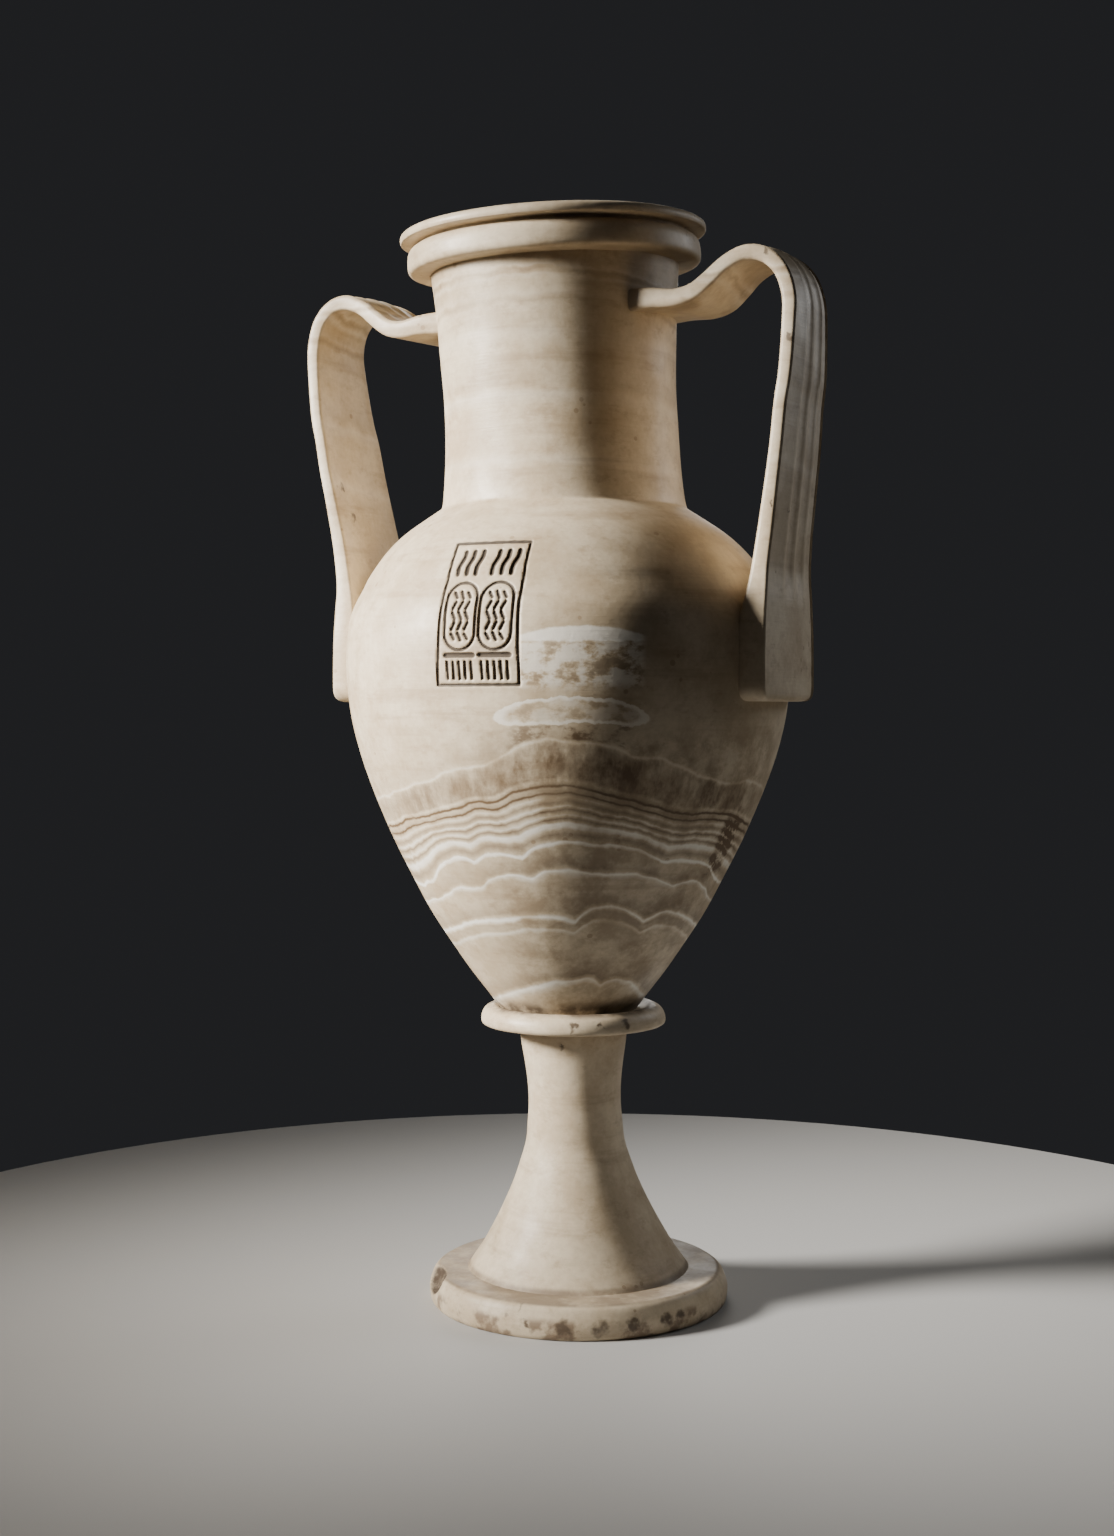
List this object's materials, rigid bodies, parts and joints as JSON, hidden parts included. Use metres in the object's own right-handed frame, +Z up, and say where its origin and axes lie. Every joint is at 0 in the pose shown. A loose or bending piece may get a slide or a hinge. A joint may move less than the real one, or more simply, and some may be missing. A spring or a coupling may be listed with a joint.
{
  "type": "amphora",
  "caption": "Tall stone amphora on a flared foot, with an egg-shaped hollow body, straight neck, ringed lip and strap handles, for holding and pouring oil.",
  "frame": {"origin": "centre of the foot's flat underside, where the amphora stands", "axes": "+Z up along the height; +X through the handles; -Y the side with the panel of strokes"},
  "size_m": [0.327, 0.2719, 0.6595],
  "materials": {
    "banded_calcite": "smooth, soft sheen, with pale and darker scalloped bands",
    "plain_calcite": "smooth, soft sheen, lightly stained"
  },
  "bodies": {
    "root": {"vessel": "banded_calcite", "foot": "plain_calcite"}
  },
  "joints": []
}
